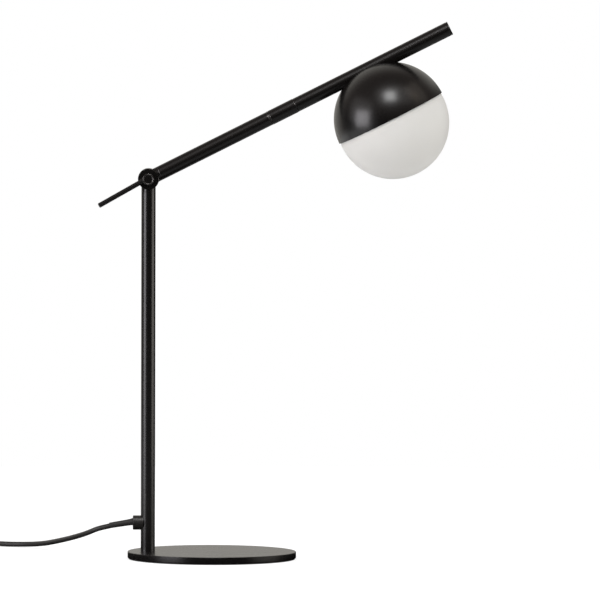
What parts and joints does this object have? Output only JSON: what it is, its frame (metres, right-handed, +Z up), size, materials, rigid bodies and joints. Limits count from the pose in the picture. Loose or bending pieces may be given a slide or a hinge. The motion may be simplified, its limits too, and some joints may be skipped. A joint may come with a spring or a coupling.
{
  "type": "table lamp",
  "caption": "Black metal table lamp with a round base, a pole, a lever-clamped tilting arm with a swivel, and an opal globe under a domed cap.",
  "frame": {"origin": "centre of the round base's underside, on the table", "axes": "+Z up along the pole, +X from the pole towards the lamp's head, +Y away from the clamp lever"},
  "size_m": [0.6115, 0.227, 0.4785],
  "materials": {
    "black_coat": "black powder coat, satin",
    "opal_glass": "white opal glass, satin outside",
    "black_plastic": "moulded, matt",
    "black_rubber": "matt",
    "cord_sheath": "smooth round sheath",
    "pin_metal": "nickel plated",
    "zinc_steel": "zinc plated",
    "contact_brass": "plain",
    "bulb_glass": "frosted",
    "holder_white": "heat-proof moulding"
  },
  "bodies": {
    "stand": {"base_plate": "black_coat", "base_pad": "black_rubber", "base_screw": "zinc_steel", "pole_foot": "zinc_steel", "pole_tube": "black_coat", "pole_knuckle": "black_coat", "pole_lead": "cord_sheath", "cord_gland": "black_plastic", "strain_relief": "black_rubber", "cord_front": "cord_sheath", "cord_link": "cord_sheath", "cord_coil": "cord_sheath", "cord_tail": "cord_sheath", "coil_tie": "black_rubber", "switch_base": "black_plastic", "switch_cover": "black_plastic", "switch_screws": "zinc_steel", "plug_body": "black_plastic", "plug_pins": "pin_metal", "pin_sleeves": "black_plastic"},
    "arm": {"arm_knuckle": "black_coat", "friction_washer": "zinc_steel", "pivot_nut": "black_coat", "arm_tube_inner": "black_coat", "swivel_spindle": "zinc_steel", "swivel_washer": "black_coat", "spindle_clip": "zinc_steel", "arm_lead": "cord_sheath"},
    "lever": {"lever_boss": "black_coat", "lever_rod": "black_coat"},
    "head": {"swivel_collar": "black_coat", "stop_pin": "zinc_steel", "arm_tube_outer": "black_coat", "arm_end_plug": "black_coat", "shade_cap": "black_coat", "saddle_boss": "zinc_steel", "holder_nipple": "zinc_steel", "nipple_nut": "zinc_steel", "globe_carrier": "zinc_steel", "globe_gasket": "black_rubber", "globe_clips": "zinc_steel", "opal_globe": "opal_glass", "lampholder": "holder_white", "holder_contacts": "contact_brass", "bulb_pins": "zinc_steel", "bulb_base": "holder_white", "bulb_envelope": "bulb_glass", "head_lead": "cord_sheath"},
    "rocker": {"switch_rocker": "black_plastic"}
  },
  "joints": [
    {"name": "arm_tilt", "type": "hinge", "parent": "stand", "child": "arm", "pos_m": [-0.057, 0, 0.3382], "axis": [0, -1, 0], "range_deg": [-34, 63]},
    {"name": "lever_turn", "type": "hinge", "parent": "arm", "child": "lever", "pos_m": [-0.057, 0, 0.3382], "axis": [0, -1, 0], "range_deg": [0, 180]},
    {"name": "head_turn", "type": "hinge", "parent": "arm", "child": "head", "pos_m": [-0.057, 0, 0.3382], "axis": [0.893, 0, 0.4501], "range_deg": [-150, 150]},
    {"name": "switch_rock", "type": "hinge", "parent": "stand", "child": "rocker", "pos_m": [-0.27, 0.139, 0.0115], "axis": [0, 1, 0], "range_deg": [0, 12]}
  ]
}
